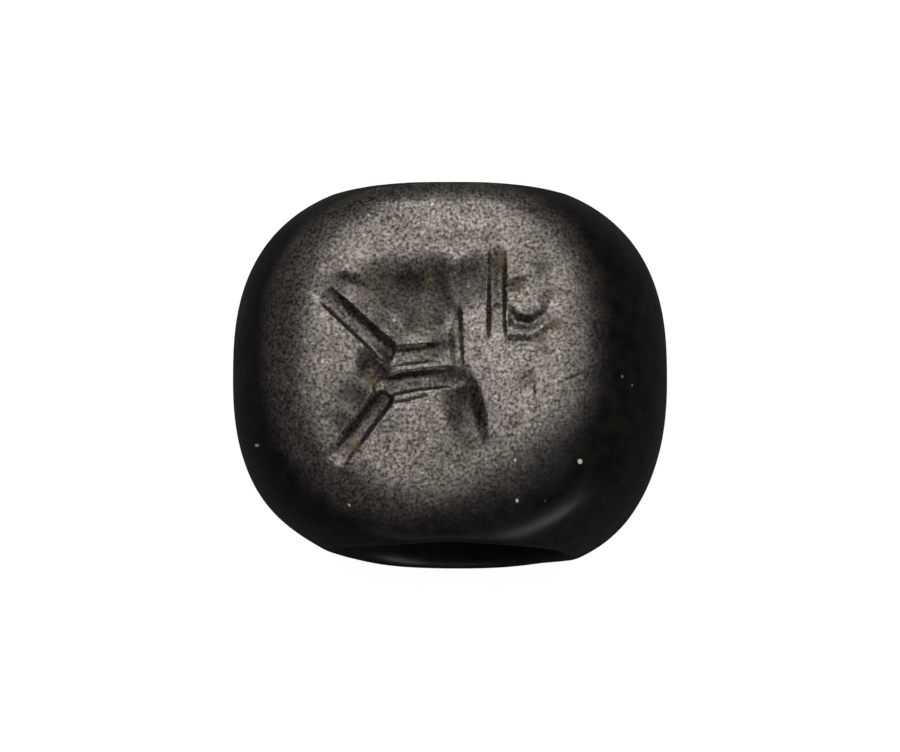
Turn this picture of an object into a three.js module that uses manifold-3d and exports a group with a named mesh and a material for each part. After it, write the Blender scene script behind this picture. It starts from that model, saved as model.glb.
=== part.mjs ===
// A stamp seal: one black stone with a carved face and a wide bore for its cord.
// Sizes are in millimetres. The stone lies on its back with the carved face up:
// X runs across the bore, Y along it, and Z out of the face. Shapes are worked out
// about the middle of the bore, and the finished stone is raised to rest on z = 0
// and centred along Y, where its two ends are a little unequal.
import * as THREE from "three";
import { ParametricGeometry } from "three/addons/geometries/ParametricGeometry.js";
import { mergeVertices } from "three/addons/utils/BufferGeometryUtils.js";
import Module from "manifold-3d";

const wasm = await Module();
wasm.setup();

// The rounded stone. Its two ends differ: one is a little longer and has the wider mouth.
// A squareness of 2 gives an ellipsoid, and a larger number fuller corners.
const halfWidth = 9.42;
const frontDepth = 9.1;
const backDepth = 7.9;
const meanRadius = 8.5;
const nearEnd = { halfLength: 9.03, extraLengthBehind: 0.82, squareness: 2.34, mouthRadius: 4.87 };
const farEnd = { halfLength: 8.55, extraLengthBehind: 0.42, squareness: 2.58, mouthRadius: 4.5 };
const lengthChangeReach = 3;

// The carved face, ground almost flat across the front
const faceHeight = 6.3;
const faceBulgeRadius = 70;
const shoulderBlend = 1.1;

// The bore, which the cord has worn wider toward both mouths
const boreRadius = 3.95;
const mouthPlace = 7.9;
const flareSharpness = 3;
const lipBlend = 0.83;

// Handling has worn the stone slimmer at two places on one end
const wornPlaces = [
  { at: new THREE.Vector3(-4.8, -7.7, -1.6), spread: 2.45, depth: 0.69 },
  { at: new THREE.Vector3(4.0, -8.6, -2.0), spread: 2.05, depth: 0.53 },
];

// The small flat spot on the back that the stone rests on
const restCut = 0.15;
const restHeight = backDepth - restCut;

// How finely the stone's surface is divided
const stepsAround = 50;
const stepsOutside = 22;
const stepsOverLip = 8;
const stepsInside = 7;
const sideReach = 6.6;
const searchReach = 9;
const searchSteps = 40;

// A cutting wheel leaves a round-bottomed cut: only a cap of the wheel enters the stone.
const channelCapAngle = THREE.MathUtils.degToRad(75);
const hollowCapAngle = THREE.MathUtils.degToRad(60);

// Straight cuts of the animal: both ends on the face, the width and the depth
const channels = [
  { part: "fore shin", from: [-5.06, 2.47], to: [-2.66, 0.24], width: 0.92, depth: 0.34 },
  { part: "fore thigh", from: [-2.4, 0], to: [-0.45, 0.24], width: 0.84, depth: 0.24 },
  { part: "hind thigh", from: [-2.8, -1.26], to: [-1.7, -1.02], width: 0.94, depth: 0.36 },
  { part: "hind thigh", from: [-1.7, -1.02], to: [0.2, -0.82], width: 0.9, depth: 0.32 },
  { part: "hind shin", from: [-4.72, -4.2], to: [-2.84, -1.75], width: 0.92, depth: 0.36 },
  { part: "shin bevel", from: [-4.7, -3.1], to: [-3.4, -1.3], width: 1.1, depth: 0.15 },
  { part: "back line", from: [0.28, 2.5], to: [0.42, -0.25], width: 0.44, depth: 0.14 },
  { part: "neck", from: [2.0, 4.5], to: [2.0, 3.2], width: 0.86, depth: 0.4 },
  { part: "neck", from: [2.0, 3.2], to: [1.98, 0.66], width: 0.8, depth: 0.22 },
  { part: "brow", from: [2.5, 3.02], to: [3.42, 3.4], width: 0.46, depth: 0.18 },
  { part: "jaw", from: [2.4, 2.15], to: [2.74, 1.56], width: 0.48, depth: 0.22 },
  { part: "jaw", from: [2.74, 1.56], to: [3.4, 1.44], width: 0.48, depth: 0.22 },
  { part: "jaw", from: [3.4, 1.44], to: [4.1, 1.92], width: 0.48, depth: 0.18 },
  { part: "jaw", from: [4.1, 1.92], to: [4.48, 2.84], width: 0.44, depth: 0.1 },
  { part: "ruff", from: [2.36, 0.7], to: [3.46, 0.68], width: 0.42, depth: 0.1 },
  { part: "ruff", from: [3.46, 0.68], to: [4.8, 1.58], width: 0.42, depth: 0.1 },
];

// Broad hollows of the animal: the middle, the half sizes, the turn in degrees and the depth
const hollows = [
  { part: "chest", at: [-1.45, 2.75], half: [2.3, 1.65], turn: 4, depth: 0.44 },
  { part: "shoulder", at: [1.05, 3.4], half: [0.85, 1.2], turn: 0, depth: 0.22 },
  { part: "knees", at: [-3.2, -0.38], half: [0.66, 0.82], turn: 0, depth: 0.26 },
  { part: "rump", at: [0.35, -2.15], half: [0.95, 1.85], turn: 12, depth: 0.2 },
  { part: "rump", at: [0.94, -2.3], half: [0.48, 1.65], turn: 10, depth: 0.32 },
  { part: "cheek", at: [4.35, 2.5], half: [0.66, 0.85], turn: 0, depth: 0.1 },
];

// The larger of a and b, with the edge between them rounded over the width of the blend
function smoothLarger(a, b, blend) {
  const share = THREE.MathUtils.clamp(0.5 + (0.5 * (a - b)) / blend, 0, 1);
  return a * share + b * (1 - share) + blend * share * (1 - share);
}

// Height of the carved face above the bore's axis
function faceAt(x, y) {
  return faceHeight - (x * x + y * y) / (2 * faceBulgeRadius);
}

// The end of the stone that a place along the bore belongs to
function endAt(y) {
  return y > 0 ? farEnd : nearEnd;
}

// Radius of the bore at a place along it
function boreRadiusAt(y) {
  const { mouthRadius } = endAt(y);
  return boreRadius + (mouthRadius - boreRadius) * Math.abs(y / mouthPlace) ** flareSharpness;
}

// Roughly the distance of a point outside the stone, as if it had no bore
function outsideStone(x, y, z) {
  const { halfLength, extraLengthBehind, squareness } = endAt(y);
  const depth = z > 0 ? frontDepth : backDepth;
  const towardBack = THREE.MathUtils.smoothstep(-z, -lengthChangeReach, lengthChangeReach);
  const length = halfLength + extraLengthBehind * towardBack;
  const roundPart = Math.hypot(x / halfWidth, z / depth) ** squareness;
  const longPart = Math.abs(y / length) ** squareness;
  let pebble = ((roundPart + longPart) ** (1 / squareness) - 1) * meanRadius;
  for (const { at, spread, depth: wornDepth } of wornPlaces) {
    const away = at.distanceTo(new THREE.Vector3(x, y, z)) / spread;
    pebble += wornDepth * Math.exp(-(away ** 2) / 2);
  }
  return smoothLarger(pebble, z - faceAt(x, y), shoulderBlend);
}

// The same for the bored stone: negative in the stone, positive in the air
function outsideBoredStone(x, y, z) {
  const intoBore = boreRadiusAt(y) - Math.hypot(x, z);
  return smoothLarger(outsideStone(x, y, z), intoBore, lipBlend);
}

// Distance from a start inside the stone, along a direction, to where a field turns positive
function distanceToSurface(field, start, direction) {
  let near = 0;
  let far = searchReach;
  for (let step = 0; step < searchSteps; step += 1) {
    const middle = (near + far) / 2;
    const point = start.clone().addScaledVector(direction, middle);
    if (field(point.x, point.y, point.z) > 0) {
      far = middle;
    } else {
      near = middle;
    }
  }
  return (near + far) / 2;
}

// Radius of the circle in the middle of the wall, at an angle round the bore
function wallMiddle(outward, y) {
  const boreEdge = boreRadiusAt(y);
  const start = outward.clone().multiplyScalar(boreEdge);
  start.y = y;
  return boreEdge + distanceToSurface(outsideStone, start, outward) / 2;
}

// The section of the wall, walked once round: along the outside, over one lip,
// back along the bore and over the other lip. It gives the place along the bore
// where a ray leaves the middle of the wall, and the ray's angle from straight out.
function walkSection(share) {
  const total = stepsOutside + stepsInside + 2 * stepsOverLip;
  const step = share * total;
  if (step <= stepsOutside) {
    return { y: sideReach * ((2 * step) / stepsOutside - 1), tilt: 0 };
  }
  if (step <= stepsOutside + stepsOverLip) {
    return { y: sideReach, tilt: (Math.PI * (step - stepsOutside)) / stepsOverLip };
  }
  if (step <= total - stepsOverLip) {
    const along = (step - stepsOutside - stepsOverLip) / stepsInside;
    return { y: sideReach * (1 - 2 * along), tilt: Math.PI };
  }
  return { y: -sideReach, tilt: (Math.PI * (step - total + 2 * stepsOverLip)) / stepsOverLip };
}

// A point of the stone's surface, from a share of the way round the bore
// and a share of the way round the wall's section
function surfacePoint(roundBore, roundWall, target) {
  const angle = -(roundBore % 1) * 2 * Math.PI;
  const outward = new THREE.Vector3(Math.cos(angle), 0, Math.sin(angle));
  const { y, tilt } = walkSection(roundWall % 1);
  const start = outward.clone().multiplyScalar(wallMiddle(outward, y));
  start.y = y;
  const direction = outward.clone().multiplyScalar(Math.cos(tilt));
  direction.y = Math.sin(tilt);
  const distance = distanceToSurface(outsideBoredStone, start, direction);
  target.copy(start).addScaledVector(direction, distance);
}

// Closed geometry to a solid that can be cut, and back
function toSolid(geometry) {
  const bare = geometry.clone();
  bare.deleteAttribute("normal");
  bare.deleteAttribute("uv");
  const merged = mergeVertices(bare);
  const mesh = new wasm.Mesh({
    numProp: 3,
    vertProperties: new Float32Array(merged.attributes.position.array),
    triVerts: new Uint32Array(merged.index.array),
  });
  mesh.merge();
  return new wasm.Manifold(mesh);
}

function toGeometry(solid) {
  const mesh = solid.getMesh();
  const geometry = new THREE.BufferGeometry();
  geometry.setAttribute("position", new THREE.BufferAttribute(mesh.vertProperties, 3));
  geometry.setIndex(new THREE.BufferAttribute(mesh.triVerts, 1));
  geometry.computeVertexNormals();
  return geometry;
}

// A point on the face, and the direction straight out of the face there
function onFace([x, y]) {
  return new THREE.Vector3(x, y, faceAt(x, y));
}

function faceNormal([x, y]) {
  return new THREE.Vector3(x, y, faceBulgeRadius).normalize();
}

// Moves a cutter made along X, with Z out of the stone, to its place on the face
function placeCutter(geometry, middle, along, normal) {
  const xAxis = along.clone().normalize();
  const yAxis = normal.clone().cross(xAxis).normalize();
  const zAxis = xAxis.clone().cross(yAxis);
  const placement = new THREE.Matrix4().makeBasis(xAxis, yAxis, zAxis).setPosition(middle);
  return toSolid(geometry.applyMatrix4(placement));
}

// A wheel cut: a capsule of which only a cap, as wide and deep as stated, enters the stone
function channelCutter({ from, to, width, depth }) {
  const start = onFace(from);
  const end = onFace(to);
  const sideScale = width / 2 / Math.sin(channelCapAngle);
  const depthScale = depth / (1 - Math.cos(channelCapAngle));
  const capsule = new THREE.CapsuleGeometry(1, start.distanceTo(end) / sideScale, 6, 16, 1);
  capsule.rotateZ(Math.PI / 2);
  capsule.scale(sideScale, sideScale, depthScale);
  capsule.translate(0, 0, depthScale * Math.cos(channelCapAngle));
  const middle = start.clone().lerp(end, 0.5);
  return placeCutter(capsule, middle, end.clone().sub(start), faceNormal([middle.x, middle.y]));
}

// A broad hollow: a flattened ball, of which only a cap enters the stone
function hollowCutter({ at, half, turn, depth }) {
  const sideScale = 1 / Math.sin(hollowCapAngle);
  const depthScale = depth / (1 - Math.cos(hollowCapAngle));
  const ball = new THREE.SphereGeometry(1, 20, 15);
  ball.rotateX(Math.PI / 2);
  ball.scale(half[0] * sideScale, half[1] * sideScale, depthScale);
  ball.translate(0, 0, depthScale * Math.cos(hollowCapAngle));
  const turned = THREE.MathUtils.degToRad(turn);
  const along = new THREE.Vector3(Math.cos(turned), Math.sin(turned), 0);
  return placeCutter(ball, onFace(at), along, faceNormal(at));
}

// A block whose top face makes the flat spot on the back
function restCutter() {
  const size = 4 * halfWidth;
  const block = new THREE.BoxGeometry(size, size, size);
  block.translate(0, 0, -restHeight - size / 2);
  return toSolid(block);
}

function makeSeal() {
  const rows = stepsOutside + stepsInside + 2 * stepsOverLip;
  let stone = toSolid(new ParametricGeometry(surfacePoint, stepsAround, rows));
  stone = stone.subtract(restCutter());
  for (const hollow of hollows) {
    stone = stone.subtract(hollowCutter(hollow));
  }
  for (const channel of channels) {
    stone = stone.subtract(channelCutter(channel));
  }
  const material = new THREE.MeshStandardMaterial({ color: 0x2a2827, roughness: 0.5, metalness: 0.1 });
  const geometry = toGeometry(stone);
  geometry.computeBoundingBox();
  const mesh = new THREE.Mesh(geometry, material);
  mesh.name = "seal";
  mesh.position.y = -(geometry.boundingBox.min.y + geometry.boundingBox.max.y) / 2;
  mesh.position.z = restHeight;
  return mesh;
}

const group = new THREE.Group();
group.add(makeSeal());

export default group;
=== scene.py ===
# %% [markdown]
# # A stone stamp seal
# The object is one rounded black stone, small enough to hang on a cord. A wide bore
# runs through it, and one side is ground nearly flat and cut with an animal, so that
# it can be pressed into wet clay. This lesson builds the stone's fine surface as one
# formula, cuts the animal into it as a map of depths, and then paints the wear, the
# crystal grain and the soil left in the cuts with procedural materials.

# %% Load the frame
import bpy
import math
import numpy as np
from mathutils import Vector, Matrix


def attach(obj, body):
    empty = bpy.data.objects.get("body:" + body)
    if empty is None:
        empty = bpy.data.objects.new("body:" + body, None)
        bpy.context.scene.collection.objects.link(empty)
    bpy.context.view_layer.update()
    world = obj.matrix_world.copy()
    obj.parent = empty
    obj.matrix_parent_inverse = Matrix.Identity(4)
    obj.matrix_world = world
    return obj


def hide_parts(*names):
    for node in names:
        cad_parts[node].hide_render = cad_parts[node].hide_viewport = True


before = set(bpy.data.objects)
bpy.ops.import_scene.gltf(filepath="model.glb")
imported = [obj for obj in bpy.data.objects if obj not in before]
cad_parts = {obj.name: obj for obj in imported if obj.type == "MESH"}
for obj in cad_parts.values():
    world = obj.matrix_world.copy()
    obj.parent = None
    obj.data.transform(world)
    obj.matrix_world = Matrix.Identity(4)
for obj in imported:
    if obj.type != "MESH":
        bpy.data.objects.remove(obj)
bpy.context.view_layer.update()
MM = 0.001

# %% [markdown]
# ## The stone's sizes
# All the sizes are in millimetres about the middle of the bore, as a maker would
# measure them: X across the bore, Y along it, Z out of the carved face. They are the
# same sizes that the solid model has, so the fine surface lands on the solid.

# %% Sizes of the stone
HALF_WIDTH, FRONT_DEPTH, BACK_DEPTH, MEAN_RADIUS = 9.42, 9.1, 7.9, 8.5
NEAR_END = {"half_length": 9.03, "extra_behind": 0.82, "squareness": 2.34, "mouth_radius": 4.87}
FAR_END = {"half_length": 8.55, "extra_behind": 0.42, "squareness": 2.58, "mouth_radius": 4.5}
LENGTH_CHANGE_REACH = 3.0
FACE_HEIGHT, FACE_BULGE_RADIUS, SHOULDER_BLEND = 6.3, 70.0, 1.1
BORE_RADIUS, MOUTH_PLACE, FLARE_SHARPNESS, LIP_BLEND = 3.95, 7.9, 3, 0.83
# Each worn place: middle, spread and how much is worn off
WORN_PLACES = [((-4.8, -7.7, -1.6), 2.45, 0.69), ((4.0, -8.6, -2.0), 2.05, 0.53)]
FLAT_SPOT_DEPTH = 0.15
REST_HEIGHT = BACK_DEPTH - FLAT_SPOT_DEPTH
print("the bore's axis lies", REST_HEIGHT, "mm above the floor")

# %% [markdown]
# ## The uncut stone as a formula
# A pebble has no flat sides to model with boxes and no poles to start a sphere from.
# A field does better: a function that is negative in the stone and positive in the
# air. Three fields make this stone: a squared-off ellipsoid, the plane of the ground
# face, and the bore. Taking the larger of two fields cuts one shape with the other,
# and a smooth version of "the larger" rounds the edge between them, as wear does.

# %% Fields of the uncut stone
def smooth_larger(a, b, blend):
    """The larger of a and b, with the edge between them rounded over the blend."""
    share = np.clip(0.5 + 0.5 * (a - b) / blend, 0.0, 1.0)
    return a * share + b * (1.0 - share) + blend * share * (1.0 - share)


def smooth_step(value, low, high):
    """Zero below low, one above high, and an even curve between.

    The curve is the square of the share of the way, times three less twice the share.
    """
    share = np.clip((value - low) / (high - low), 0.0, 1.0)
    return share * share * (3.0 - 2.0 * share)


def face_height(x, y):
    """The ground face is a cap of a very large ball, highest in the middle.

    It falls by the squared distance from the middle over twice the ball's radius.
    """
    return FACE_HEIGHT - (x**2 + y**2) / (2.0 * FACE_BULGE_RADIUS)


def at_end(y, name):
    """A size of the end of the stone that each place along the bore belongs to."""
    return np.where(y > 0.0, FAR_END[name], NEAR_END[name])


def bore_radius(y):
    """The bore widens from its middle to its mouths with the cube of the distance."""
    flare = at_end(y, "mouth_radius") - BORE_RADIUS
    return BORE_RADIUS + flare * np.abs(y / MOUTH_PLACE) ** FLARE_SHARPNESS


def outside_stone(x, y, z):
    """A squared ellipsoid, longer behind, worn at two places, then cut by the face's cap.

    The shares of the half sizes, each raised to the squareness, are added. The root of
    the sum less one, times the mean radius, is then nearly the distance in millimetres.
    """
    depth = np.where(z > 0.0, FRONT_DEPTH, BACK_DEPTH)
    toward_back = smooth_step(-z, -LENGTH_CHANGE_REACH, LENGTH_CHANGE_REACH)
    half_length = at_end(y, "half_length") + at_end(y, "extra_behind") * toward_back
    squareness = at_end(y, "squareness")
    round_part = np.hypot(x / HALF_WIDTH, z / depth) ** squareness
    long_part = np.abs(y / half_length) ** squareness
    pebble = ((round_part + long_part) ** (1.0 / squareness) - 1.0) * MEAN_RADIUS
    for (worn_x, worn_y, worn_z), spread, worn in WORN_PLACES:
        squared = ((x - worn_x) ** 2 + (y - worn_y) ** 2 + (z - worn_z) ** 2) / spread**2
        pebble = pebble + worn * np.exp(-squared / 2.0)
    return smooth_larger(pebble, z - face_height(x, y), SHOULDER_BLEND)


def outside_bored_stone(x, y, z):
    """The stone less its bore, with the lip between them rounded."""
    return smooth_larger(outside_stone(x, y, z), bore_radius(y) - np.hypot(x, z), LIP_BLEND)


print("middle of the face, field value:", float(outside_stone(0.0, 0.0, FACE_HEIGHT)))

# %% [markdown]
# ## From the formula to a grid
# A bored stone is a ring, so its surface is a grid that closes on itself both ways:
# once round the bore, and once round the section of the wall. From a circle in the
# middle of the wall, rays go out to the outside, over one lip, back along the bore
# and over the other lip. Each ray's length is found by halving an interval until it
# meets the surface. The columns are placed evenly across the face, where the fine
# cuts need small faces, and sparsely over the back.

# %% Rays from the middle of the wall
SEARCH_REACH, SEARCH_STEPS = 9.0, 34
SIDE_REACH = 6.6
FACE_SPAN, COLUMN_STEP, BACK_COLUMNS = 6.3, 0.06, 96
CARVED_SPAN, ROW_STEP, LIP_STEPS, INSIDE_STEPS = (-5.1, 4.95), 0.06, 26, 28
NEAR_ROWS, FAR_ROWS = (-SIDE_REACH, -5.2, 11), (5.0, SIDE_REACH, 12)


def distance_to_surface(field, start, direction):
    """Halves the stretch between a point inside and one outside, for all rays at once."""
    near = np.zeros(np.broadcast(*start, *direction).shape)
    far = near + SEARCH_REACH
    for _ in range(SEARCH_STEPS):
        middle = (near + far) / 2.0
        outside = field(*[s + d * middle for s, d in zip(start, direction)]) > 0.0
        far = np.where(outside, middle, far)
        near = np.where(outside, near, middle)
    return (near + far) / 2.0


def angles_round_bore(face_span, face_step, other_steps):
    """Evenly spaced places across the face as angles, then even angles round the back."""
    across = np.arange(face_span, -face_span, -face_step)
    over_face = np.arctan2(FACE_HEIGHT, across)
    round_back = np.linspace(over_face[-1], over_face[0] + 2.0 * np.pi, other_steps + 2)[1:-1]
    return np.concatenate([over_face, round_back])


def walk_section(outside_places, lip_steps, inside_steps):
    """Place along the bore and tilt from straight out, once round the wall's section."""
    over_lip = np.pi * np.arange(1, lip_steps) / lip_steps
    inside = np.linspace(SIDE_REACH, -SIDE_REACH, inside_steps)
    at_lip = np.full(lip_steps - 1, SIDE_REACH)
    place = [outside_places, at_lip, inside, -at_lip]
    tilt = [np.zeros(len(outside_places)), over_lip, np.full(inside_steps, np.pi), np.pi + over_lip]
    return np.concatenate(place), np.concatenate(tilt)


angle = angles_round_bore(FACE_SPAN, COLUMN_STEP, BACK_COLUMNS)
carved_rows = np.arange(*CARVED_SPAN, ROW_STEP)
outside_places = np.concatenate([np.linspace(*NEAR_ROWS), carved_rows, np.linspace(*FAR_ROWS)])
place, tilt = walk_section(outside_places, LIP_STEPS, INSIDE_STEPS)
print("grid of", len(angle), "columns by", len(place), "rows")

# %% [markdown]
# ## Wheel cuts
# The animal was cut with small wheels and round-nosed drills, fed with wet abrasive.
# Its legs and neck are channels with steep walls and a level floor, cut along a line.
# Its body is broad and soft-edged, worked with the side of a larger tool and then
# rubbed smooth. So there are two profiles here, one crisp and one soft. Each cut is a
# depth for every point of the face, which is quicker to shape than a solid tool would
# be, and it can be joined softly with its neighbours.

# %% Depth of one cut
SMALLEST_DISTANCE = 1e-6


def channel_depth(x, y, start, end, width, depths, left_power, right_power):
    """Depth times one less a power of the distance from the line, as a share of half the width.

    Past the rim it goes on as a straight slope. The depth follows a parabola through its
    values at the start, the middle and the end, as the round wheel leaves it. The power is
    stated for each side of the line: a high one gives a level floor and a thin steep wall,
    and a low one a broad slope.
    """
    line = np.subtract(end, start)
    from_x, from_y = x - start[0], y - start[1]
    along = np.clip((from_x * line[0] + from_y * line[1]) / line.dot(line), 0.0, 1.0)
    away_x, away_y = from_x - along * line[0], from_y - along * line[1]
    away = np.hypot(away_x, away_y)
    crossed = line[0] * away_y - line[1] * away_x
    to_left = crossed / math.hypot(*line) / np.maximum(away, SMALLEST_DISTANCE)
    power = (left_power + right_power + (left_power - right_power) * to_left) / 2.0
    share = away / (width / 2.0)
    profile = np.where(share < 1.0, 1.0 - share**power, power * (1.0 - share))
    first, middle, last = depths
    depth = first * (1.0 - along) * (1.0 - 2.0 * along) + last * along * (2.0 * along - 1.0)
    return (depth + 4.0 * middle * along * (1.0 - along)) * profile


def hollow_depth(x, y, middle, half, turn, depth, lean):
    """Depth times the square of one less the squared distance from the middle.

    The distance is a share of the half sizes, and the square leaves the rim without an
    edge. A positive lean makes the wall on the turned x side the steeper.
    """
    turned = math.radians(turn)
    across = (x - middle[0]) * math.cos(turned) + (y - middle[1]) * math.sin(turned)
    along = ((y - middle[1]) * math.cos(turned) - (x - middle[0]) * math.sin(turned)) / half[1]
    across = across / (half[0] * np.where(across > 0.0, 1.0 - lean, 1.0 + lean))
    return depth * np.clip(1.0 - across**2 - along**2, 0.0, 1.0) ** 2


trial = channel_depth(0.0, 0.2, (-1, 0), (1, 0), 0.8, (0.3, 0.3, 0.3), 4, 4)
print("a channel 0.3 mm deep, halfway to its wall:", trial)

# %% The cuts of the animal
# Each channel: start, end, width, depths at its start, middle and end, powers left and right
LEGS = [
    ((-5.4, 2.87), (-2.66, 0.24), 0.92, (0.03, 0.37, 0.24), 3, 6),
    ((-2.5, 0.0), (-0.45, 0.24), 0.84, (0.1, 0.22, 0.04), 4, 5),
    ((-2.8, -1.26), (-1.7, -1.02), 0.94, (0.18, 0.34, 0.34), 5, 6),
    ((-1.7, -1.02), (0.2, -0.82), 0.9, (0.34, 0.3, 0.06), 5, 6),
    ((-4.9, -4.45), (-2.84, -1.75), 0.92, (0.0, 0.4, 0.34), 2.8, 6),
]
NECK_AND_BACK = [
    ((2.0, 4.85), (1.98, 0.7), 0.82, (0.0, 0.28, 0.03), 5, 5),
    ((0.15, 2.5), (0.27, -0.35), 0.62, (0.0, 0.15, 0.05), 5, 1),
]
HEAD = [
    ((2.45, 3.0), (3.42, 3.4), 0.56, (0.16, 0.14, 0.0), 1.4, 1.4),
    ((2.4, 2.15), (2.74, 1.56), 0.6, (0.04, 0.12, 0.15), 1.4, 1.4),
    ((2.74, 1.56), (3.4, 1.44), 0.6, (0.15, 0.17, 0.15), 1.4, 1.4),
    ((3.4, 1.44), (4.1, 1.92), 0.6, (0.15, 0.13, 0.08), 1.4, 1.4),
    ((4.1, 1.92), (4.48, 2.84), 0.5, (0.08, 0.05, 0.0), 1.4, 1.4),
    ((2.36, 0.7), (3.46, 0.68), 0.46, (0.05, 0.09, 0.07), 1.6, 1.6),
    ((3.46, 0.68), (4.8, 1.58), 0.46, (0.07, 0.08, 0.0), 1.6, 1.6),
]
# Each hollow: middle, half sizes, turn, depth and lean
HOLLOWS = [
    ((-2.75, 2.75), (1.8, 1.95), 4, 0.32, -0.15),
    ((-0.75, 2.65), (1.9, 2.15), 0, 0.4, 0.0),
    ((-4.3, 3.05), (1.1, 0.75), -25, 0.16, 0.0),
    ((-1.25, 1.45), (1.2, 1.0), 0, 0.12, 0.0),
    ((1.05, 3.2), (1.15, 1.6), 0, 0.28, 0.0),
    ((-3.2, -0.35), (0.9, 1.05), 0, 0.28, 0.0),
    ((-4.2, -1.9), (0.75, 2.2), -32, 0.1, 0.2),
    ((0.9, -2.3), (1.05, 2.25), 12, 0.3, 0.35),
    ((4.35, 2.5), (0.75, 0.95), 0, 0.1, 0.0),
]
print("wheel cuts:", len(LEGS + NECK_AND_BACK + HEAD), "and hollows:", len(HOLLOWS))

# %% Fine marks
# Slips of the wheel, too fine for the solid model: a second step under the hind thigh,
# a groove down the middle of the hind shin, and short lines on the plain face
SLIPS = [
    ((-2.5, -2.03), (-1.53, -1.83), 0.22, (0.04, 0.06, 0.06), 2, 2),
    ((-1.53, -1.83), (-0.85, -1.66), 0.22, (0.06, 0.05, 0.01), 2, 2),
    ((-4.78, -4.3), (-2.8, -1.74), 0.14, (0.01, 0.02, 0.01), 2, 2),
    ((4.86, -0.99), (5.64, -0.67), 0.2, (0.01, 0.025, 0.01), 2, 2),
    ((4.58, -5.05), (4.78, -4.4), 0.08, (0.01, 0.03, 0.01), 2, 2),
]
# Faint marks right of the rump and above the head, and a pit in the neck
FAINT_HOLLOWS = [
    ((3.45, -1.35), (0.55, 1.0), 0, 0.07, 0.6),
    ((3.78, 4.3), (0.85, 0.5), -8, 0.06, 0.0),
    ((1.98, 2.24), (0.16, 0.16), 0, 0.08, 0.0),
]
print("fine marks:", len(SLIPS + FAINT_HOLLOWS))

# %% All the cuts together
CUT_BLEND, MARK_BLEND, SHARED = 0.05, 0.01, 0.75


def deepest(x, y, cuts, blend):
    """The deepest of several channels at each point, softly joined, never above the face."""
    depth = np.full(np.broadcast(x, y).shape, -1.0)
    for cut in cuts:
        depth = smooth_larger(depth, channel_depth(x, y, *cut), blend)
    return smooth_larger(depth, 0.0, blend)


def carved_depth(x, y):
    """The depth of the hollows, of the channels, and of everything together.

    Hollows add up. Where a channel crosses a hollow, the depth is the deeper of the two
    plus most of the shallower, because it was cut into a surface that was already sunk.
    """
    hollows = sum(hollow_depth(x, y, *hollow) for hollow in HOLLOWS)
    channels = deepest(x, y, LEGS + NECK_AND_BACK + HEAD, CUT_BLEND)
    marks = deepest(x, y, SLIPS, MARK_BLEND)
    marks = marks + sum(hollow_depth(x, y, *hollow) for hollow in FAINT_HOLLOWS)
    together = np.maximum(hollows, channels) + SHARED * np.minimum(hollows, channels) + marks
    return hollows, channels, together


# %% [markdown]
# ## The stone, point by point
# The maker first shaped and bored the pebble, and only then cut the face. The steps
# here keep that order: the rays find the plain stone's surface, and then the depths of
# the cuts are taken off the height of the points on the face.

# %% The stone's points
columns, rows = len(angle), len(place)
out_x, out_z = np.cos(angle)[:, None], np.sin(angle)[:, None]
along = place[None, :]
bore_edge = bore_radius(along)
bore_wall = (out_x * bore_edge, along, out_z * bore_edge)
to_outside = distance_to_surface(outside_stone, bore_wall, (out_x, 0.0, out_z))
wall_middle = bore_edge + to_outside / 2.0
start = (wall_middle * out_x, along, wall_middle * out_z)
direction = (np.cos(tilt)[None, :] * out_x, np.sin(tilt)[None, :], np.cos(tilt)[None, :] * out_z)
distance = distance_to_surface(outside_bored_stone, start, direction)
x, y, z = [np.broadcast_to(s + d * distance, (columns, rows)).copy() for s, d in zip(start, direction)]
print("stone across, mm:", round(float(np.ptp(x)), 3), "long:", round(float(np.ptp(y)), 3))

# %% Press the cuts into the face
# The front is where a ray points at least this share of the way out of the face
FRONT_LIMIT = 0.3
faces_front = out_z > FRONT_LIMIT
on_face = (tilt == 0.0)[None, :] & faces_front
below_cap = face_height(x, y) - z
hollows, channels, cut = [np.where(on_face, depth, 0.0) for depth in carved_depth(x, y)]
z = np.maximum(z - cut, -REST_HEIGHT)
middle_of_length = (y.min() + y.max()) / 2.0
print("middle of the length, mm:", round(float(middle_of_length), 3))
print("deepest cut, mm:", round(float(cut.max()), 3))

# %% [markdown]
# ## One closed skin
# Neighbouring points are joined into four-sided faces. Both ways round, the last line of
# points joins the first again, so the skin has no seam and no hole, as a solid stone
# should. Smooth shading then hides the small faces.

# %% The mesh
def grid_faces(columns, rows):
    """Quads between neighbours of a grid that closes on itself both ways."""
    column, row = np.meshgrid(np.arange(columns), np.arange(rows), indexing="ij")
    next_column, next_row = (column + 1) % columns, (row + 1) % rows
    corners = [(column, row), (column, next_row), (next_column, next_row), (next_column, row)]
    numbers = [its_column * rows + its_row for its_column, its_row in corners]
    return np.stack(numbers, axis=-1).reshape(-1, 4)


def make_mesh(name, points, quads):
    """A mesh from whole arrays of points and quads, shaded smooth."""
    mesh = bpy.data.meshes.new(name)
    mesh.vertices.add(len(points))
    mesh.vertices.foreach_set("co", points.astype(np.float32).ravel())
    mesh.loops.add(quads.size)
    mesh.loops.foreach_set("vertex_index", quads.astype(np.int32).ravel())
    mesh.polygons.add(len(quads))
    mesh.polygons.foreach_set("loop_start", np.arange(0, quads.size, 4, dtype=np.int32))
    mesh.polygons.foreach_set("use_smooth", np.ones(len(quads), dtype=bool))
    mesh.update(calc_edges=True)
    mesh.validate()
    return mesh


points = np.stack([x, y - middle_of_length, z + REST_HEIGHT], axis=-1).reshape(-1, 3) * MM
stone_mesh = make_mesh("carved_stone", points, grid_faces(columns, rows))
stone = bpy.data.objects.new("carved_stone", stone_mesh)
bpy.context.scene.collection.objects.link(stone)
print("the stone's faces:", len(stone_mesh.polygons), "so triangles:", 2 * len(stone_mesh.polygons))

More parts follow.
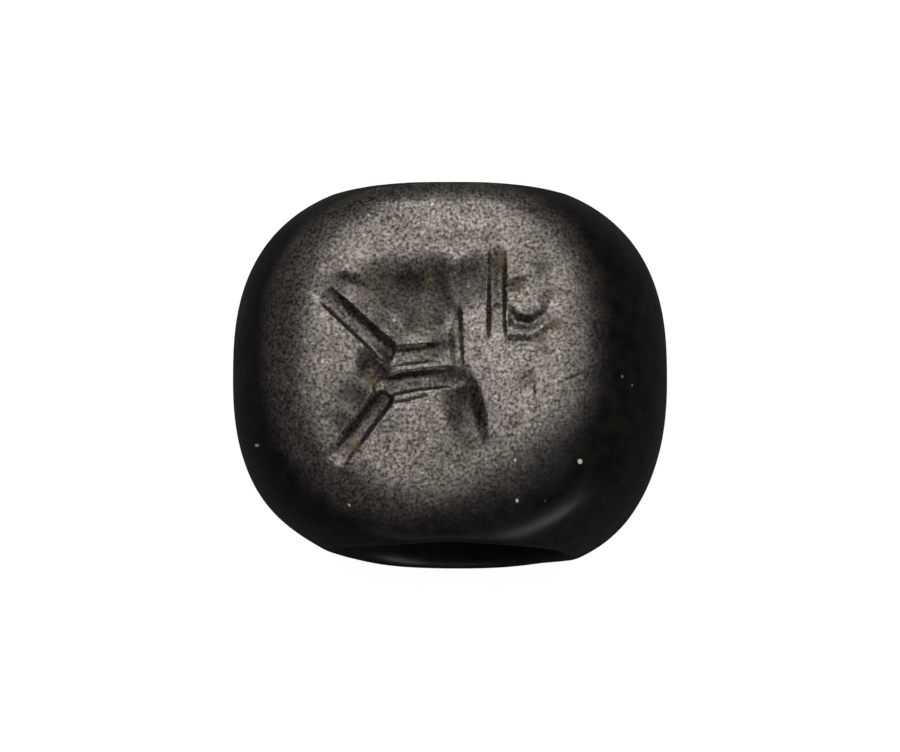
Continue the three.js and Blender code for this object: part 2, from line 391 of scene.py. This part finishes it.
# %% Show the first face's middle and normal
first_face = stone_mesh.polygons[0]
print("first face's middle and normal:", tuple(first_face.center), tuple(first_face.normal))

# %% [markdown]
# ## Wear, dirt and painted shade as masks
# Where the polish has been ground off, where the cuts are and painted shade dims them, and
# where old soil clings all depend on the place on the stone. An image could be painted for
# them, but it would have to be painted again after each change. Here they are worked out
# for every point from the same sizes as the cuts, and stored on the mesh for the material to read.

# %% Masks on the points
def store_mask(mesh, name, values):
    """A number for each point of the mesh, for the material to read."""
    layer = mesh.attributes.new(name, "FLOAT", "POINT")
    layer.data.foreach_set("value", np.asarray(values, dtype=np.float32).ravel())


def near_places(x, y, places):
    """One at each place, falling as a bell curve of the distance over that place's reach."""
    near = np.zeros(np.broadcast(x, y).shape)
    for place_x, place_y, reach in places:
        near = np.maximum(near, np.exp(-((x - place_x) ** 2 + (y - place_y) ** 2) / reach**2))
    return near


GROUND_MIDDLE, GROUND_HALF, GROUND_SQUARENESS = (-1.0, 0.95), (7.0, 7.5), 2.25
GROUND_FADE, SHOULDER_FADE = (0.76, 1.14), (0.2, 1.9)
# One corner of the face is darker: the way to it, where that begins and ends, and its share
CORNER_WAY, CORNER_FADE, CORNER_SHARE = (0.555, -0.832), (3.9, 6.0), 0.65
aside, upward = [np.abs(p - m) / h for p, m, h in zip((x, y), GROUND_MIDDLE, GROUND_HALF)]
from_middle = (aside**GROUND_SQUARENESS + upward**GROUND_SQUARENESS) ** (1.0 / GROUND_SQUARENESS)
ground = 1.0 - smooth_step(from_middle, *GROUND_FADE)
toward_corner = CORNER_WAY[0] * x + CORNER_WAY[1] * y
ground = ground * (1.0 - CORNER_SHARE * smooth_step(toward_corner, *CORNER_FADE))
ground = ground * (1.0 - smooth_step(below_cap, *SHOULDER_FADE))
on_front_half = (np.cos(tilt) > 0.0)[None, :] & faces_front
ground = np.where(on_front_half, ground, 0.0)
store_mask(stone_mesh, "ground", ground)
print("share of points on the ground face:", round(float((ground > 0.5).mean()), 2))

# %% Places of soil, dust, rubbed stone and painted shade
# Each place: x, y and reach
SOIL_PLACES = [
    (1.73, 3.75, 0.3), (2.12, 4.2, 0.25), (0.3, 0.95, 0.3), (-0.85, 3.3, 0.18), (-3.6, 3.5, 0.4),
    (-3.33, -1.0, 0.3), (2.75, 3.1, 0.25), (3.8, 0.87, 0.25), (4.52, 1.47, 0.3), (-4.0, -3.75, 0.28),
]
DUST_PLACES = [
    (5.48, -4.37, 0.1), (2.74, -4.35, 0.06), (-8.27, -3.41, 0.08), (-4.25, -6.23, 0.07),
    (2.82, -6.07, 0.07), (4.0, -5.98, 0.06), (-2.36, 1.6, 0.06),
]
# Places where the face's grey is dimmed: partly rubbed smooth stone, partly painted shade on the
# slopes of the cuts
SMOOTH_AND_SHADED_PLACES = [
    (-3.4, 2.85, 0.9), (-2.9, 1.7, 0.75), (-4.8, 3.0, 0.8), (-2.3, 0.95, 0.6), (-1.9, 3.4, 0.7),
    (-0.6, 3.4, 0.8), (1.0, 3.1, 0.8), (0.0, 2.1, 0.65), (-1.5, 1.6, 0.8), (-0.4, 0.7, 0.65),
    (-3.2, -0.5, 0.75), (-3.9, -1.6, 0.75), (-4.6, -2.8, 0.7), (0.6, -1.6, 0.7), (0.7, -2.7, 0.8),
    (0.75, -3.6, 0.85), (0.2, -0.6, 0.5), (3.3, 1.6, 0.4), (2.0, 3.9, 0.4), (3.9, 3.9, 0.5),
]
print("soil in", len(SOIL_PLACES), "places and dust at", len(DUST_PLACES))

# %% Masks for cuts with painted shade, soil and dust
HOLLOW_FADE, CHANNEL_FADE, CHANNEL_SHARE = (0.05, 0.3), (0.04, 0.2), 0.6
in_hollows = smooth_step(hollows, *HOLLOW_FADE)
in_channels = CHANNEL_SHARE * smooth_step(channels, *CHANNEL_FADE)
# The cut mask dims the face's grey in hollows, channels and the listed places: partly their weaker
# shine, partly painted shade
smooth = np.maximum(np.maximum(in_hollows, in_channels), near_places(x, y, SMOOTH_AND_SHADED_PLACES))
on_front = np.where(z > 0.0, 1.0, 0.0)
# Stored as cut, this mask carries the painted shade as well as the cuts
store_mask(stone_mesh, "cut", smooth)
store_mask(stone_mesh, "soil", near_places(x, y, SOIL_PLACES) * on_front)
store_mask(stone_mesh, "dust", near_places(x, y, DUST_PLACES) * on_front)
print("share of points in cuts or rubbed smooth:", round(float((smooth > 0.5).mean()), 2))

# %% What the stone stands for
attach(stone, "root")
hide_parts("seal")
print("the fine stone takes the place of the plain one")

# %% [markdown]
# ## Helpers for the materials
# A material is a graph of nodes. One helper adds a node and fills its inputs, either
# with a fixed value or with another node's output, so that the graph reads as a list
# of steps.

# %% One node at a time
def add_node(tree, kind, place, inputs=None, **settings):
    """A node at a place: an input given a socket is linked, and any other gets the value."""
    node = tree.nodes.new(kind)
    node.location = place
    for name, value in settings.items():
        setattr(node, name, value)
    for name, source in (inputs or {}).items():
        if isinstance(source, bpy.types.NodeSocket):
            tree.links.new(source, node.inputs[name])
        else:
            node.inputs[name].default_value = source
    return node


def add_math(tree, operation, place, *numbers, held=False):
    """A sum on two or three numbers or sockets, held between zero and one if asked."""
    inputs = dict(enumerate(numbers))
    node = add_node(tree, "ShaderNodeMath", place, inputs, operation=operation, use_clamp=held)
    return node.outputs["Value"]


def add_range(tree, place, value, low, high, new_low=0.0, new_high=1.0):
    """A value stretched so that low becomes new_low and high becomes new_high."""
    inputs = {"Value": value, "From Min": low, "From Max": high, "To Min": new_low, "To Max": new_high}
    return add_node(tree, "ShaderNodeMapRange", place, inputs).outputs["Result"]


def add_colour_mix(tree, place, share, first, second):
    """The first colour where the share is zero, and the second where it is one."""
    inputs = {"Factor": share, "A": first, "B": second}
    return add_node(tree, "ShaderNodeMix", place, inputs, data_type="RGBA").outputs["Result"]


def new_group(name, sockets_in, sockets_out):
    """An empty node group with named inputs of the stated kinds and number outputs."""
    group = bpy.data.node_groups.new(name, "ShaderNodeTree")
    for socket, kind in sockets_in.items():
        group.interface.new_socket(socket, in_out="INPUT", socket_type=kind)
    for socket in sockets_out:
        group.interface.new_socket(socket, in_out="OUTPUT", socket_type="NodeSocketFloat")
    return group, add_node(group, "NodeGroupInput", (-1000, 0)).outputs


def place_group(tree, group, place, inputs):
    """A node group placed in a material with its own values."""
    return add_node(tree, "ShaderNodeGroup", place, inputs, node_tree=group).outputs


# %% [markdown]
# ## Grain and specks
# The ground face looks grey because tiny crystals of the stone catch the light between
# darker ones, and the same mottling, larger and fainter, runs through the polished
# stone. Dust and single bright crystals are separate specks. Each of the two effects is
# a node group, because the material uses it more than once at different sizes.

# %% Group for the grain
NUMBER, VECTOR = "NodeSocketFloat", "NodeSocketVector"
BROAD_SCALE, FINE_SPREAD, BROAD_SPREAD = 0.2, (0.33, 0.67), (0.3, 0.7)
grain, given = new_group("crystal grain", {"Vector": VECTOR, "Scale": NUMBER}, ["Fine", "Patches"])
fine_inputs = {"Vector": given["Vector"], "Scale": given["Scale"], "Detail": 2.5}
fine = add_node(grain, "ShaderNodeTexNoise", (-600, 150), fine_inputs).outputs["Fac"]
broad_scale = add_math(grain, "MULTIPLY", (-800, -200), given["Scale"], BROAD_SCALE)
broad_inputs = {"Vector": given["Vector"], "Scale": broad_scale, "Detail": 2.0}
broad = add_node(grain, "ShaderNodeTexNoise", (-600, -150), broad_inputs).outputs["Fac"]
put_out = {
    "Fine": add_range(grain, (-300, 150), fine, *FINE_SPREAD),
    "Patches": add_range(grain, (-300, -150), broad, *BROAD_SPREAD),
}
add_node(grain, "NodeGroupOutput", (0, 0), put_out)
print("group:", grain.name)

# %% Group for the specks
INNER_SHARE = 0.5
speck_inputs = {"Vector": VECTOR, "Scale": NUMBER, "Share": NUMBER, "Radius": NUMBER}
specks, given = new_group("specks", speck_inputs, ["Mask"])
cell_inputs = {"Vector": given["Vector"], "Scale": given["Scale"]}
cells = add_node(specks, "ShaderNodeTexVoronoi", (-700, 0), cell_inputs).outputs
split = add_node(specks, "ShaderNodeSeparateColor", (-500, 150), {"Color": cells["Color"]})
draw = split.outputs["Red"]
chosen = add_math(specks, "LESS_THAN", (-300, 150), draw, given["Share"])
inner = add_math(specks, "MULTIPLY", (-500, -200), given["Radius"], INNER_SHARE)
disc = add_range(specks, (-300, -100), cells["Distance"], given["Radius"], inner)
speck = add_math(specks, "MULTIPLY", (-100, 0), chosen, disc)
add_node(specks, "NodeGroupOutput", (100, 0), {"Mask": speck})
print("group:", specks.name)

# %% [markdown]
# ## Black stone
# The stone is nearly black and was polished all over. On the carved face the polish has
# been ground away, and the crystals there shine dull and grey, like metal filings. In
# the cuts the shine is weaker, the grey is dimmed further as painted shade, and soil and
# dust have stayed behind. Four materials could be joined along hard edges, but on the
# real stone each finish fades into the next, so one material does it all, and the masks choose between
# the finishes and the painted shade.

# %% Read the masks
material = bpy.data.materials.new("black stone")
material.use_nodes = True
tree = material.node_tree
surface = tree.nodes["Principled BSDF"]
surface.location = (1500, 0)
tree.nodes["Material Output"].location = (1800, 0)
where = add_node(tree, "ShaderNodeTexCoord", (-1700, 0)).outputs["Object"]
masks = {}
for number, name in enumerate(["ground", "cut", "soil", "dust"]):
    place_down = -250 - 200 * number
    mask = add_node(tree, "ShaderNodeAttribute", (-1700, place_down), attribute_name=name)
    masks[name] = mask.outputs["Fac"]
print("masks read:", list(masks))

# %% Grain and specks at their sizes
FACE_GRAIN_SCALE, BODY_GRAIN_SCALE, GLINT_SCALE, FINE_DUST_SCALE = 7500.0, 1500.0, 5200.0, 2600.0
face_grain = place_group(tree, grain, (-1400, 300), {"Vector": where, "Scale": FACE_GRAIN_SCALE})
body_grain = place_group(tree, grain, (-1400, 100), {"Vector": where, "Scale": BODY_GRAIN_SCALE})
glint_inputs = {"Vector": where, "Scale": GLINT_SCALE, "Share": 0.1, "Radius": 0.45}
glints = place_group(tree, specks, (-1400, -100), glint_inputs)
fine_dust_inputs = {"Vector": where, "Scale": FINE_DUST_SCALE, "Share": 0.02, "Radius": 0.22}
fine_dust = place_group(tree, specks, (-1400, -300), fine_dust_inputs)
grain_size, glint_size = [1.0 / scale / MM for scale in (FACE_GRAIN_SCALE, GLINT_SCALE)]
print("grain about", round(grain_size, 2), "mm across, glints about", round(glint_size, 2))

# %% Colours of the stone
POLISHED_DARK, POLISHED_BROWN = (0.0042, 0.004, 0.0036, 1.0), (0.012, 0.0105, 0.0078, 1.0)
CRYSTAL_GREY = (0.54, 0.48, 0.425, 1.0)
# Grey shares between crystals and on them, factors from patch to patch and in the cuts,
# where the factor is partly the weaker shine and partly painted shade
GREY_SHARES, PATCH_FACTORS, CUT_SHINE_AND_SHADE_FACTOR, GLINT_SHARE = (0.06, 0.49), (0.75, 1.25), 0.24, 0.3
polished = add_colour_mix(tree, (-900, 400), body_grain["Fine"], POLISHED_DARK, POLISHED_BROWN)
coverage = add_range(tree, (-1150, 200), face_grain["Fine"], 0.0, 1.0, *GREY_SHARES)
patchy = add_range(tree, (-1150, 0), face_grain["Patches"], 0.0, 1.0, *PATCH_FACTORS)
coverage = add_math(tree, "MULTIPLY", (-900, 150), coverage, patchy)
coverage = add_math(tree, "MULTIPLY_ADD", (-700, 100), glints["Mask"], GLINT_SHARE, coverage)
# In the cuts and the rubbed places the grey is dimmed: partly weaker shine, partly painted shade
cut_shine_and_shade = add_range(tree, (-1150, -200), masks["cut"], 0.0, 1.0, 1.0, CUT_SHINE_AND_SHADE_FACTOR)
coverage = add_math(tree, "MULTIPLY", (-500, 50), coverage, cut_shine_and_shade)
coverage = add_math(tree, "MULTIPLY", (-300, 50), coverage, masks["ground"], held=True)
stone_colour = add_colour_mix(tree, (-100, 300), coverage, polished, CRYSTAL_GREY)
print("colours set for the polished and the ground stone")

# %% Soil and dust over the stone
SOIL_OCHRE, DUST_PALE = (0.21, 0.15, 0.062, 1.0), (0.6, 0.58, 0.52, 1.0)
SOIL_PATCHES, SOIL_FACTORS, DUST_EDGE, LOOSE_SHARE = (0.2, 0.8), (0.2, 1.2), (0.25, 0.5), 0.35
patches = add_range(tree, (-700, -250), body_grain["Patches"], *SOIL_PATCHES, *SOIL_FACTORS)
soil_share = add_math(tree, "MULTIPLY", (-500, -250), masks["soil"], patches)
soil_share = add_math(tree, "MULTIPLY", (-300, -250), soil_share, face_grain["Fine"], held=True)
dust_share = add_range(tree, (-500, -450), masks["dust"], *DUST_EDGE)
loose_dust = add_math(tree, "MULTIPLY", (-500, -600), fine_dust["Mask"], LOOSE_SHARE)
dust_share = add_math(tree, "MAXIMUM", (-300, -500), dust_share, loose_dust, held=True)
dirty = add_colour_mix(tree, (200, 250), soil_share, stone_colour, SOIL_OCHRE)
dirty = add_colour_mix(tree, (450, 250), dust_share, dirty, DUST_PALE)
tree.links.new(dirty, surface.inputs["Base Color"])
dirt_share = add_math(tree, "MAXIMUM", (-100, -400), soil_share, dust_share)
clean = add_math(tree, "SUBTRACT", (100, -400), 1.0, dirt_share, held=True)
print("soil and dust lie over the stone")

# %% Shine
GROUND_METALLIC, SPECULAR_LEVEL, UNEVEN_FACTORS = 0.85, 0.12, (0.85, 1.2)
POLISHED_ROUGHNESS, GROUND_ROUGHNESS, DIRT_ROUGHNESS = 0.34, 0.4, 0.9
metallic = add_math(tree, "MULTIPLY", (300, 0), masks["ground"], GROUND_METALLIC)
metallic = add_math(tree, "MULTIPLY", (500, 0), metallic, clean)
tree.links.new(metallic, surface.inputs["Metallic"])
stone_roughness = (POLISHED_ROUGHNESS, GROUND_ROUGHNESS)
roughness = add_range(tree, (300, -200), masks["ground"], 0.0, 1.0, *stone_roughness)
uneven = add_range(tree, (300, -400), body_grain["Patches"], 0.0, 1.0, *UNEVEN_FACTORS)
roughness = add_math(tree, "MULTIPLY", (500, -250), roughness, uneven)
dirt_adds = DIRT_ROUGHNESS - POLISHED_ROUGHNESS
roughness = add_math(tree, "MULTIPLY_ADD", (700, -250), dirt_share, dirt_adds, roughness, held=True)
tree.links.new(roughness, surface.inputs["Roughness"])
surface.inputs["Specular IOR Level"].default_value = SPECULAR_LEVEL
print("roughness polished, ground and under dirt:", *stone_roughness, DIRT_ROUGHNESS)

# %% Fine bumps
CRYSTAL_HEIGHT, BUMP_STRENGTH, BUMP_DISTANCE = 2.0, 0.15, 0.02 * MM
height = add_math(tree, "MULTIPLY_ADD", (700, -500), coverage, CRYSTAL_HEIGHT, body_grain["Fine"])
bump_inputs = {"Height": height, "Strength": BUMP_STRENGTH, "Distance": BUMP_DISTANCE}
bump = add_node(tree, "ShaderNodeBump", (1000, -400), bump_inputs)
tree.links.new(bump.outputs["Normal"], surface.inputs["Normal"])
stone_mesh.materials.append(material)
print("material nodes:", len(tree.nodes))

# %% [markdown]
# ## Floor, light and camera
# The stone lies on white paper, so pale that the paper shows no edge. White paper would
# also mirror in the stone's sides, which are dark in the picture, so the paper and the
# room look white to the camera alone and light the stone only a little. One large soft
# light above and behind gives the face its even grey and leaves the steep sides of the
# cuts dark. A second, lower behind it, softens the far edge of the face, and two low ones
# in front draw the soft gleam on the near corner and along the lip of the bore.

# %% Floor
FLOOR_HALF, PAPER_GREY, PAPER_ROUGHNESS = 1.5, (0.1, 0.1, 0.1, 1.0), 0.9
WHITE = (1.0, 1.0, 1.0, 1.0)
floor_mesh = bpy.data.meshes.new("floor")
floor_corners = [
    (side_x * FLOOR_HALF, side_y * FLOOR_HALF, 0.0)
    for side_x, side_y in [(-1, -1), (1, -1), (1, 1), (-1, 1)]
]
floor_mesh.from_pydata(floor_corners, [], [(0, 1, 2, 3)])
floor = bpy.data.objects.new("floor", floor_mesh)
bpy.context.scene.collection.objects.link(floor)
paper = bpy.data.materials.new("pale paper")
paper.use_nodes = True
paper_surface = paper.node_tree.nodes["Principled BSDF"]
paper_surface.inputs["Base Color"].default_value = PAPER_GREY
paper_surface.inputs["Roughness"].default_value = PAPER_ROUGHNESS
paper_surface.inputs["Emission Color"].default_value = WHITE
floor_mesh.materials.append(paper)
print("floor, metres across:", 2.0 * FLOOR_HALF)

# %% Room and paper that look white
def seen_by_camera(tree, dim, bright):
    """A strength that is bright where the camera looks straight at it, and dim as a light."""
    camera_ray = add_node(tree, "ShaderNodeLightPath", (-900, 300)).outputs["Is Camera Ray"]
    return add_range(tree, (-600, 300), camera_ray, 0.0, 1.0, dim, bright)


ROOM_DIM, ROOM_BRIGHT, PAPER_DIM, PAPER_BRIGHT = 0.035, 1.0, 0.0, 0.98
world = bpy.data.worlds.new("studio")
bpy.context.scene.world = world
world.use_nodes = True
background = world.node_tree.nodes["Background"]
background.inputs["Color"].default_value = WHITE
room_strength = seen_by_camera(world.node_tree, ROOM_DIM, ROOM_BRIGHT)
world.node_tree.links.new(room_strength, background.inputs["Strength"])
paper_strength = seen_by_camera(paper.node_tree, PAPER_DIM, PAPER_BRIGHT)
paper.node_tree.links.new(paper_strength, paper_surface.inputs["Emission Strength"])
print("the room's strength as a light:", ROOM_DIM, "and for the camera:", ROOM_BRIGHT)

# %% Soft lights
LIGHT_DISTANCE = 0.5
# Each light: name, azimuth and elevation in degrees, size in metres and radiance
SOFTBOXES = [
    ("overhead", 180, 67, 0.44, 2.9),
    ("back fill", 180, 35, 0.24, 1.1),
    ("low fill", 31, 3, 0.25, 7.0),
    ("front fill", -10, 4, 0.2, 2.2),
]


def add_softbox(name, azimuth, elevation, size, radiance):
    """A square soft light that faces the stone.

    Its power is the radiance times pi times the square of its size.
    """
    data = bpy.data.lights.new(name, "AREA")
    data.shape = "SQUARE"
    data.size = size
    data.energy = radiance * math.pi * size**2
    light = bpy.data.objects.new(name, data)
    a, e = math.radians(azimuth), math.radians(elevation)
    away = Vector((math.sin(a) * math.cos(e), -math.cos(a) * math.cos(e), math.sin(e)))
    light.location = away * LIGHT_DISTANCE
    light.rotation_euler = away.to_track_quat("Z", "Y").to_euler()
    bpy.context.scene.collection.objects.link(light)


for softbox in SOFTBOXES:
    add_softbox(*softbox)
print("soft lights:", [name for name, *_ in SOFTBOXES])

# %% Camera
TILT, CAMERA_DISTANCE = math.radians(7.9), 217.9
FOCAL_LENGTH, SENSOR_WIDTH, CLIP_START = 200.0, 36.0, 0.01
AIM_Y, AIM_Z = 0.18, -0.8
look_at = Vector((0.0, AIM_Y - middle_of_length, AIM_Z + REST_HEIGHT)) * MM
camera_data = bpy.data.cameras.new("camera")
camera_data.lens, camera_data.sensor_width = FOCAL_LENGTH, SENSOR_WIDTH
camera_data.clip_start = CLIP_START
camera = bpy.data.objects.new("camera", camera_data)
back = Vector((0.0, -math.sin(TILT), math.cos(TILT)))
camera_place = look_at + back * CAMERA_DISTANCE * MM
camera.matrix_world = Matrix.Translation(camera_place) @ Matrix.Rotation(TILT, 4, "X")
bpy.context.scene.collection.objects.link(camera)
bpy.context.scene.camera = camera
bpy.context.scene.view_settings.view_transform = "Standard"
print("camera at, mm:", [round(value / MM, 1) for value in camera_place])
